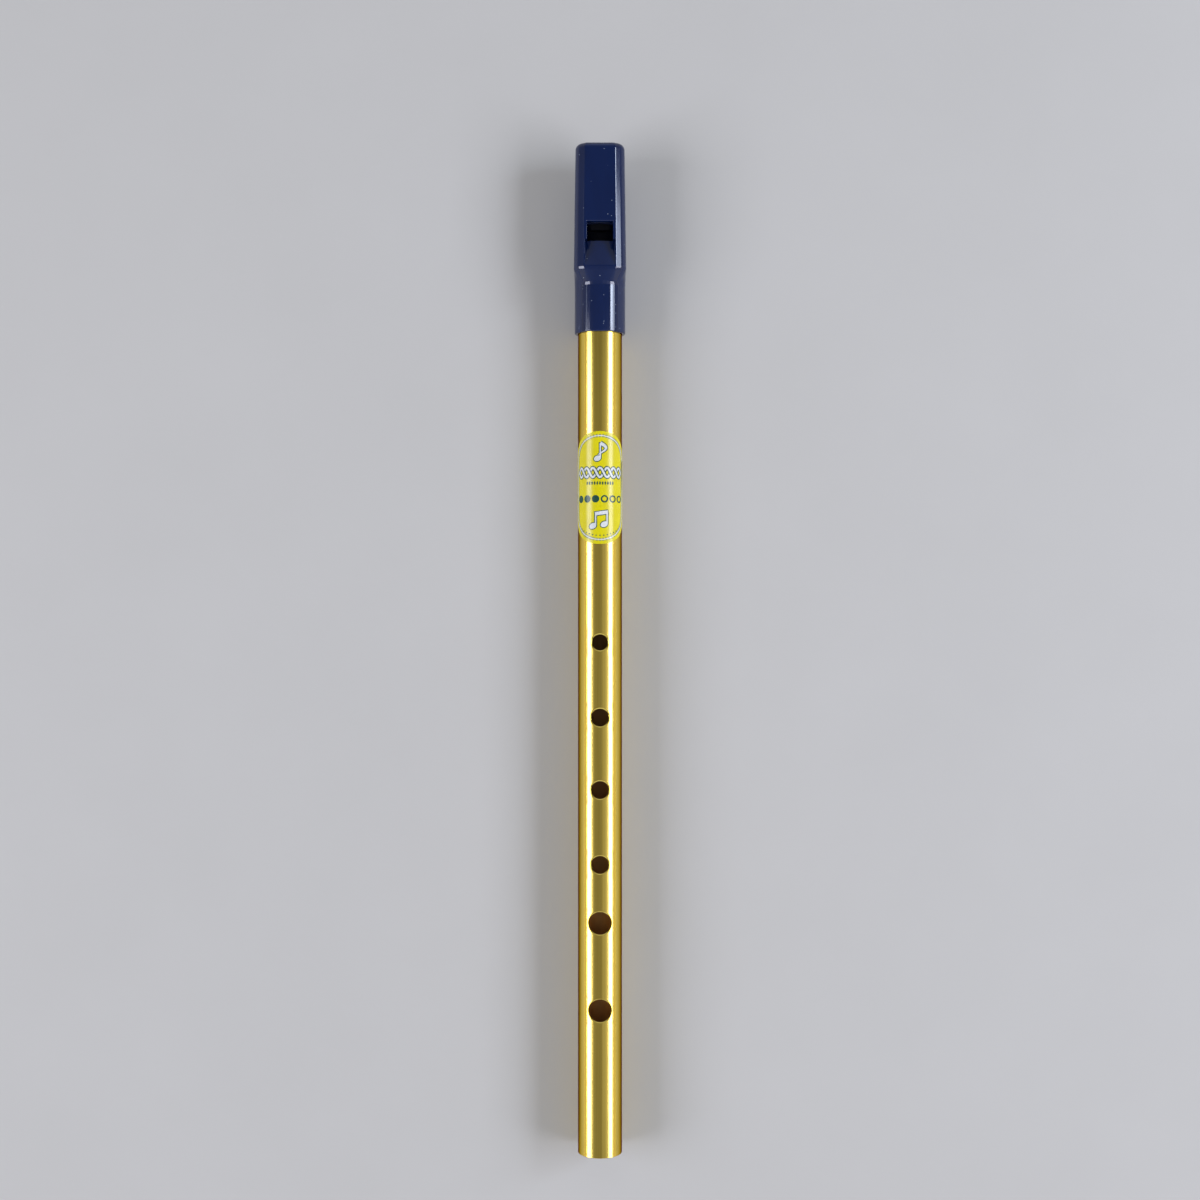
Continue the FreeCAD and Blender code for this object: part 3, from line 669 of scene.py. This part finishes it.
def print_ink(name, shapes):
    """Ink on the label. shapes are (rows, height), with a height for each row or one for all of them."""
    shell = Shell()
    for number, (rows, height) in enumerate(shapes):
        heights = height if hasattr(height, "__len__") else [height] * len(rows)
        apart = INK_SPREAD * number / len(shapes)
        highs = [LABEL_TOP + INK * (1 + h + apart) for h in heights]
        add_slab(shell, rows, LABEL_TOP - INK_ROOT, highs)
    ink = make_object(name, shell.points, shell.faces, "body_tube")
    weld(ink, INK_WELD_REACH)
    return ink


# the signs on the label, in millimetres. u is from the label's middle to the right and v towards the beak
QUAVER = (0.0, 10.4, 5.2)  # middle u and v, and size
BEAMED_QUAVERS = (0.0, -9.2, 5.4)
NOTE_EDGE = 0.24  # how far the notes' green edges stand out from their white
PLAIT = (4.4, 7.3, 2.7)  # middle v, half width and height
PLAIT_EDGE, PLAIT_STRAND = 1.15, 0.62
DOTS, DOT_GAP, DOTS_V = 11, 0.78, 1.3
DOT_HALF_WIDTH, DOT_HALF_HEIGHT = 0.25, 0.5
FINGER_SIGNS, CLOSED_SIGNS = 6, 3
SIGN_GAP, SIGNS_V, SIGN_RADIUS = 2.6, -3.3, 1.1
RING_RADIUS, RING_WIDTH, RING_STEPS = 0.88, 0.46, 36
ARC_DOTS, ARC_DOT_RADIUS, ARC_DOT_TURN = 15, 0.2, 6.8
ARC_V, ARC_HALF_WIDTH, ARC_HEIGHT = -6.0, 9.2, 8.0
BORDER_INSET, BORDER_END_INSET = 1.3, 0.8
BORDER_WIDTH, BORDER_LINE_WIDTH = 0.95, 0.30


def row_of_dots():
    """Small upright dots side by side."""
    us = [(number - (DOTS - 1) / 2) * DOT_GAP for number in range(DOTS)]
    return [disc(u, DOTS_V, DOT_HALF_WIDTH, DOT_HALF_HEIGHT) for u in us]


def finger_signs():
    """A row of signs for finger holes, the first of them closed and the others open."""
    shapes = []
    for number in range(FINGER_SIGNS):
        u = (number - (FINGER_SIGNS - 1) / 2) * SIGN_GAP
        if number < CLOSED_SIGNS:
            shapes.append(disc(u, SIGNS_V, SIGN_RADIUS, SIGN_RADIUS))
        else:
            turns = np.linspace(0, 2 * math.pi, RING_STEPS + 1)
            ring = [(u + RING_RADIUS * math.cos(t), SIGNS_V + RING_RADIUS * math.sin(t)) for t in turns]
            ring[-1] = ring[0]
            shapes.append(stroke(ring, [RING_WIDTH] * len(ring)))
    return shapes


def arc_of_dots():
    """Small round dots along the label's lower end."""
    shapes = []
    for number in range(ARC_DOTS):
        turn = math.radians((number - (ARC_DOTS - 1) / 2) * ARC_DOT_TURN)
        u, v = ARC_HALF_WIDTH * math.sin(turn), ARC_V - ARC_HEIGHT * math.cos(turn)
        shapes.append(disc(u, v, ARC_DOT_RADIUS, ARC_DOT_RADIUS, steps=6))
    return shapes


def make_print():
    """The label's signs: notes, a plait, dots and a row of finger holes, with no letters."""
    green, white, grey = [], [], []
    for sign, place_and_size in ((quaver, QUAVER), (beamed_quavers, BEAMED_QUAVERS)):
        green += [(rows, 0) for rows in sign(*place_and_size, NOTE_EDGE)]
        white += [(rows, 1) for rows in sign(*place_and_size, 0)]
    for strand, ink, height in ((PLAIT_EDGE, green, 1), (PLAIT_STRAND, white, 2)):
        for rows, lifts in plait(*PLAIT, strand):
            ink.append((rows, [height + lift for lift in lifts]))
    green += [(rows, 0) for rows in row_of_dots() + finger_signs() + arc_of_dots()]
    border = stadium_path(
        LABEL_WIDTH / 2 - BORDER_INSET, LABEL_LENGTH / 2 - BORDER_INSET, LABEL_END_RISE - BORDER_END_INSET,
    )
    for width, ink, height in ((BORDER_WIDTH, grey, 0), (BORDER_LINE_WIDTH, white, 1)):
        ink.append((stroke(border, [width] * len(border)), height))
    inks = (("label_green_print", green), ("label_white_print", white), ("label_grey_print", grey))
    return [print_ink(name, shapes) for name, shapes in inks]


# --------------------------------------------------------------------------------------- the materials

class Nodes:
    """Nodes that are added to a tree, each given by its output."""

    def __init__(self, tree):
        self.tree = tree

    def wire(self, source, node, socket):
        """Links an output to a node's input."""
        self.tree.links.new(source, node.inputs[socket])

    def maths(self, operation, first, second):
        """An operation on two numbers or outputs."""
        node = self.tree.nodes.new("ShaderNodeMath")
        node.operation = operation
        for number, value in enumerate((first, second)):
            if isinstance(value, (int, float)):
                node.inputs[number].default_value = value
            else:
                self.wire(value, node, number)
        return node.outputs["Value"]

    def ranged(self, source, low, high, to_low, to_high):
        """The source's range from low to high, mapped to another range and held within it."""
        node = self.tree.nodes.new("ShaderNodeMapRange")
        self.wire(source, node, "Value")
        for socket, value in zip(("From Min", "From Max", "To Min", "To Max"), (low, high, to_low, to_high)):
            node.inputs[socket].default_value = value
        return node.outputs["Result"]

    def blend(self, share, first, second):
        """A colour between two, which are colours or sockets."""
        node = self.tree.nodes.new("ShaderNodeMix")
        node.data_type = "RGBA"
        self.wire(share, node, "Factor")
        for socket, colour in ((node.inputs[6], first), (node.inputs[7], second)):
            if isinstance(colour, tuple):
                socket.default_value = (*colour, 1)
            else:
                self.tree.links.new(colour, socket)
        return node.outputs[2]


class Recipe(Nodes):
    """A material and the nodes that are added to it. Lengths are in metres, in the piece's own frame."""

    def __init__(self, name):
        self.material = bpy.data.materials.new(name)
        self.material.use_nodes = True
        super().__init__(self.material.node_tree)
        self.shader = self.tree.nodes["Principled BSDF"]
        self.place = self.tree.nodes.new("ShaderNodeTexCoord").outputs["Object"]

    def stretched(self, x, y, z):
        """The place, with each direction scaled."""
        node = self.tree.nodes.new("ShaderNodeMapping")
        node.inputs["Scale"].default_value = (x, y, z)
        self.wire(self.place, node, "Vector")
        return node.outputs["Vector"]

    def noise(self, size, detail=3.0, grain=0.55, place=None):
        """Noise from 0 to 1 whose blotches are about size across."""
        node = self.tree.nodes.new("ShaderNodeTexNoise")
        node.inputs["Scale"].default_value = 1 / size
        node.inputs["Detail"].default_value = detail
        node.inputs["Roughness"].default_value = grain
        self.wire(place or self.place, node, "Vector")
        return node.outputs["Fac"]

    def specks(self, spacing, size, share):
        """1 at round specks, in about that share of the cells of a lattice, and 0 between them."""
        cells = self.tree.nodes.new("ShaderNodeTexVoronoi")
        cells.inputs["Scale"].default_value = 1 / spacing
        self.wire(self.place, cells, "Vector")
        near = self.ranged(cells.outputs["Distance"], 0.5 * size / spacing, 0.3 * size / spacing, 0, 1)
        parts = self.tree.nodes.new("ShaderNodeSeparateColor")
        self.wire(cells.outputs["Color"], parts, "Color")
        chosen = self.maths("GREATER_THAN", parts.outputs["Red"], 1 - share)
        return self.maths("MULTIPLY", near, chosen)

    def along(self):
        """How far along the whistle a place is, from its middle."""
        parts = self.tree.nodes.new("ShaderNodeSeparateXYZ")
        self.wire(self.place, parts, "Vector")
        return parts.outputs["Y"]

    def inside(self, radius):
        """1 nearer the bore's axis than radius, in millimetres, and 0 further out."""
        parts = self.tree.nodes.new("ShaderNodeSeparateXYZ")
        self.wire(self.place, parts, "Vector")
        up = self.maths("SUBTRACT", parts.outputs["Z"], AXIS_HEIGHT)
        x_square = self.maths("MULTIPLY", parts.outputs["X"], parts.outputs["X"])
        up_square = self.maths("MULTIPLY", up, up)
        return self.maths("LESS_THAN", self.maths("ADD", x_square, up_square), (radius * MM) ** 2)

    def bump(self, height, depth, under=None):
        """Relief: height from 0 to 1 stands for depth."""
        node = self.tree.nodes.new("ShaderNodeBump")
        node.inputs["Distance"].default_value = depth
        self.wire(height, node, "Height")
        if under:
            self.wire(under, node, "Normal")
        return node.outputs["Normal"]

    def set(self, **values):
        """Sets the shader's own sockets to values or outputs. A name's spaces are written as _."""
        for name, value in values.items():
            socket = self.shader.inputs[name.replace("_", " ")]
            if isinstance(value, bpy.types.NodeSocket):
                self.tree.links.new(value, socket)
            else:
                socket.default_value = value
        return self.material


def brass():
    """Drawn tube: bright, with lines along it and faint clouds. Its bore is dull, and painted shade makes it
    darker towards the head.
    """
    dark_line, bright_line, tarnish = (0.80, 0.58, 0.105), (0.89, 0.66, 0.135), (0.66, 0.45, 0.075)
    # the bore's colour near the foot, and the darker one towards the head, which is painted shade deep in
    # the bore
    bore_low, bore_shaded_colour = (0.68, 0.43, 0.18), (0.37, 0.225, 0.10)
    darkening = (-0.08, 0.0025)  # where along the whistle the bore goes from the one colour to the other
    line_roughness = (0.19, 0.15)
    recipe = Recipe("drawn_brass")
    streaks = recipe.noise(0.0006, 3, 0.6, recipe.stretched(1, 0.004, 1))
    fine_streaks = recipe.noise(0.0002, 2, 0.5, recipe.stretched(1, 0.006, 1))
    clouds = recipe.noise(0.012, 2, 0.5, recipe.stretched(1, 0.3, 1))
    lines = recipe.ranged(recipe.maths("ADD", streaks, fine_streaks), 0.8, 1.2, 0, 1)
    metal = recipe.blend(lines, dark_line, bright_line)
    metal = recipe.blend(recipe.ranged(clouds, 0.5, 0.8, 0, 0.3), metal, tarnish)
    bore = recipe.inside(BORE_RADIUS + 0.12)
    # painted shade: the bore's colour darkens from the foot towards the head
    bore_colour_with_painted_shade = recipe.blend(recipe.ranged(recipe.along(), *darkening, 0, 1), bore_low, bore_shaded_colour)
    metal = recipe.blend(bore, metal, bore_colour_with_painted_shade)
    dullness = recipe.ranged(clouds, 0.4, 0.8, 0, 0.01)
    roughness = recipe.maths("ADD", recipe.ranged(lines, 0, 1, *line_roughness), dullness)
    roughness = recipe.maths("ADD", roughness, recipe.maths("MULTIPLY", bore, 0.35))
    relief = recipe.bump(streaks, 0.0000004)
    relief = recipe.bump(fine_streaks, 0.0000003, relief)
    edge_tint = (0.16, 0.0, 0.0, 1)
    return recipe.set(
        Base_Color=metal, Metallic=1.0, Roughness=roughness, Normal=relief, Specular_Tint=edge_tint,
    )


def navy_plastic():
    """Polished moulding: faint flow marks, fine scratches and a little dust, and duller in its cavities."""
    dark_navy, light_navy, dust_colour = (0.0009, 0.0072, 0.041), (0.0015, 0.0110, 0.060), (0.24, 0.30, 0.38)
    recipe = Recipe("navy_moulding")
    flow = recipe.noise(0.005, 3, 0.5, recipe.stretched(1, 0.35, 1))
    grain = recipe.noise(0.0006, 3, 0.6)
    scratches = recipe.noise(0.0009, 3, 0.6, recipe.stretched(1.6, 0.16, 1.6))
    scuffs = recipe.ranged(scratches, 0.62, 0.74, 0, 1)
    dust = recipe.specks(0.0012, 0.00030, 0.20)
    cavity = recipe.inside(BORE_RADIUS + 0.06)
    colour = recipe.blend(flow, dark_navy, light_navy)
    colour = recipe.blend(recipe.maths("MULTIPLY", dust, 0.7), colour, dust_colour)
    polish = recipe.ranged(grain, 0.3, 0.7, 0.065, 0.09)
    roughness = recipe.maths("ADD", polish, recipe.maths("MULTIPLY", scuffs, 0.05))
    roughness = recipe.maths("ADD", roughness, recipe.maths("MULTIPLY", cavity, 0.45))
    relief = recipe.bump(flow, 0.000006)
    relief = recipe.bump(grain, 0.0000005, relief)
    relief = recipe.bump(dust, 0.00003, relief)
    return recipe.set(Base_Color=colour, Roughness=roughness, Normal=relief, IOR=1.55)


def printed(name, light, dark, roughness):
    """Ink or paper: slightly uneven in colour and gloss, with the paper's fibres under it."""
    recipe = Recipe(name)
    fibres = recipe.noise(0.0003, 4, 0.65, recipe.stretched(1, 0.6, 1))
    mottle = recipe.noise(0.003, 3, 0.5)
    colour = recipe.blend(recipe.ranged(mottle, 0.3, 0.7, 0, 1), light, dark)
    colour = recipe.blend(recipe.ranged(fibres, 0.55, 0.8, 0, 0.25), colour, dark)
    gloss = recipe.ranged(fibres, 0.3, 0.7, roughness - 0.03, roughness + 0.05)
    return recipe.set(Base_Color=colour, Roughness=gloss, Normal=recipe.bump(fibres, 0.000004), IOR=1.5)


def floor_paper():
    """Plain pale paper, a little uneven."""
    dark_patch, light_patch = (0.46, 0.45, 0.415), (0.49, 0.48, 0.445)
    recipe = Recipe("pale_floor")
    colour = recipe.blend(recipe.noise(0.05, 4, 0.6), dark_patch, light_patch)
    return recipe.set(Base_Color=colour, Roughness=0.85, Normal=recipe.bump(recipe.noise(0.0012), 0.00002))


def dress(material, piece):
    """Gives a piece its one material."""
    piece.data.materials.clear()
    piece.data.materials.append(material)


# ------------------------------------------------------------------------ the floor, lights and camera

FLOOR_HALF = 1.5
LIGHT_DISTANCE = 1.4  # from the bore's axis
# the colours of the lights beside the tube and of those beside the mouthpiece
TUBE_LIGHT = (0.95, 0.97, 1.14)
HEAD_LIGHT = (0.86, 0.97, 1.2)
# where along the whistle these lights start and end
RIGHT_TUBE, RIGHT_HEAD = (-0.68, 0.32), (0.32, 0.60)
LEFT_TUBE, LEFT_HEAD = (-0.68, 0.315), (0.30, 0.60)
# each light's name, angles, ends, radiance and colour
STRIP_LIGHTS = (
    ("right_strip", (46.5, 67.6), RIGHT_TUBE, 8.5, TUBE_LIGHT),
    ("right_shoulder", (31, 46.5), RIGHT_TUBE, 0.2, TUBE_LIGHT),
    ("right_glow", (11, 46.5), RIGHT_TUBE, 0.16, TUBE_LIGHT),
    ("right_head_strip", (49, 59), RIGHT_HEAD, 17.0, HEAD_LIGHT),
    ("right_head_fade", (59, 69.1), RIGHT_HEAD, 6.6, HEAD_LIGHT),
    ("left_strip", (-70.6, -45.5), LEFT_TUBE, 7.2, TUBE_LIGHT),
    ("left_shoulder", (-45.5, -34), LEFT_TUBE, 0.3, TUBE_LIGHT),
    ("left_head_strip", (-65, -62), LEFT_HEAD, 1.8, HEAD_LIGHT),
)
HORIZON_COLOUR, OVERHEAD_COLOUR = (1.0, 0.91, 0.64), (1.0, 1.0, 0.96)
ENDS_COLOUR, GROUND_COLOUR = (0.80, 0.90, 1.25), (0.97, 0.97, 1.0)
# where the light from around changes, as how far up or how far along the whistle a direction points
OVERHEAD_FROM = 0.6
GROUND_FROM = -0.03
HEAD_SIDE_FROM, HEAD_SIDE_TO = 0.13, 0.2
PICTURE_WIDTH = 0.3509  # of the whistle's front, from one side of the picture to the other
PICTURE_MIDDLE = 0.0149
LENS = 50
SENSOR_WIDTH = 36


def make_floor():
    """A plain square sheet under the whistle."""
    half = FLOOR_HALF
    mesh = bpy.data.meshes.new("floor")
    corners = [(-half, -half, 0), (half, -half, 0), (half, half, 0), (-half, half, 0)]
    mesh.from_pydata(corners, [], [(0, 1, 2, 3)])
    floor = bpy.data.objects.new("floor", mesh)
    bpy.context.scene.collection.objects.link(floor)
    return floor


def make_strip_light(name, angles, ends, radiance, colour):
    """A soft light beside the whistle that runs along it.

    angles are those of its two long edges, in degrees to the right from straight up. ends are the places of
    its two ends along the whistle. radiance is how bright it looks from the whistle.
    """
    turn = math.radians(sum(angles) / 2)
    light = bpy.data.lights.new(name, "AREA")
    light.shape = "RECTANGLE"
    light.size = 2 * LIGHT_DISTANCE * math.tan(math.radians(abs(angles[1] - angles[0]) / 2))
    light.size_y = ends[1] - ends[0]
    light.energy = radiance * math.pi * light.size * light.size_y
    light.color = colour
    lamp = bpy.data.objects.new(name, light)
    x, up = LIGHT_DISTANCE * math.sin(turn), LIGHT_DISTANCE * math.cos(turn)
    lamp.location = (x, sum(ends) / 2, AXIS_HEIGHT + up)
    lamp.rotation_euler = (0, turn, 0)
    lamp.visible_camera = False
    bpy.context.scene.collection.objects.link(lamp)


def make_world(overhead, around, lengthwise, beyond_head, ground):
    """Dim light from all sides, warm near the horizon.

    overhead is its brightness straight up and around at the horizon. lengthwise is what is added beyond the
    whistle's ends. beyond_head is the part of the light that is left on the mouthpiece's side. ground is the
    brightness of what lies beyond the floor.
    """
    world = bpy.data.worlds.new("studio")
    world.use_nodes = True
    nodes = Nodes(world.node_tree)
    parts = nodes.tree.nodes.new("ShaderNodeSeparateXYZ")
    nodes.wire(nodes.tree.nodes.new("ShaderNodeTexCoord").outputs["Generated"], parts, "Vector")
    climb = nodes.ranged(parts.outputs["Z"], 0.0, OVERHEAD_FROM, 0, 1)
    above_ground = nodes.ranged(parts.outputs["Z"], GROUND_FROM, 0.0, 0, 1)
    head_side = nodes.ranged(parts.outputs["Y"], HEAD_SIDE_FROM, HEAD_SIDE_TO, 1, beyond_head)
    brightness = nodes.ranged(climb, 0, 1, around, overhead)
    brightness = nodes.maths("MULTIPLY", brightness, nodes.ranged(above_ground, 0, 1, ground / around, 1))
    brightness = nodes.maths("MULTIPLY", brightness, head_side)
    square = nodes.maths("MULTIPLY", parts.outputs["Y"], parts.outputs["Y"])
    ends = nodes.maths("MULTIPLY", square, square)
    strength = nodes.maths("ADD", brightness, nodes.maths("MULTIPLY", ends, lengthwise))
    sky = nodes.blend(climb, HORIZON_COLOUR, OVERHEAD_COLOUR)
    sky = nodes.blend(ends, sky, ENDS_COLOUR)
    background = nodes.tree.nodes["Background"]
    nodes.wire(nodes.blend(above_ground, GROUND_COLOUR, sky), background, "Color")
    nodes.wire(strength, background, "Strength")
    bpy.context.scene.world = world


def make_camera():
    """Straight above the whistle, with the beak at the top of the picture."""
    camera = bpy.data.objects.new("camera", bpy.data.cameras.new("camera"))
    camera.data.lens = LENS
    camera.data.sensor_width = SENSOR_WIDTH
    distance = PICTURE_WIDTH * LENS / SENSOR_WIDTH
    camera.location = (0, PICTURE_MIDDLE, AXIS_HEIGHT + TUBE_RADIUS * MM + distance)
    bpy.context.scene.collection.objects.link(camera)
    bpy.context.scene.camera = camera


head = make_mouthpiece()
tube = make_tube()
label = make_label()
green_print, white_print, grey_print = make_print()

dress(navy_plastic(), head)
dress(brass(), tube)
dress(printed("yellow_label", (0.68, 0.60, 0.001), (0.62, 0.54, 0.001), roughness=0.24), label)
dress(printed("green_ink", (0.010, 0.075, 0.045), (0.006, 0.05, 0.03), roughness=0.28), green_print)
dress(printed("white_ink", (0.66, 0.68, 0.66), (0.58, 0.61, 0.60), roughness=0.28), white_print)
dress(printed("grey_ink", (0.27, 0.29, 0.10), (0.21, 0.24, 0.08), roughness=0.28), grey_print)
dress(floor_paper(), make_floor())

make_world(overhead=0.25, around=0.80, lengthwise=0.5, beyond_head=0.6, ground=0.5)
for strip_light in STRIP_LIGHTS:
    make_strip_light(*strip_light)
make_camera()
bpy.context.scene.view_settings.view_transform = "Standard"
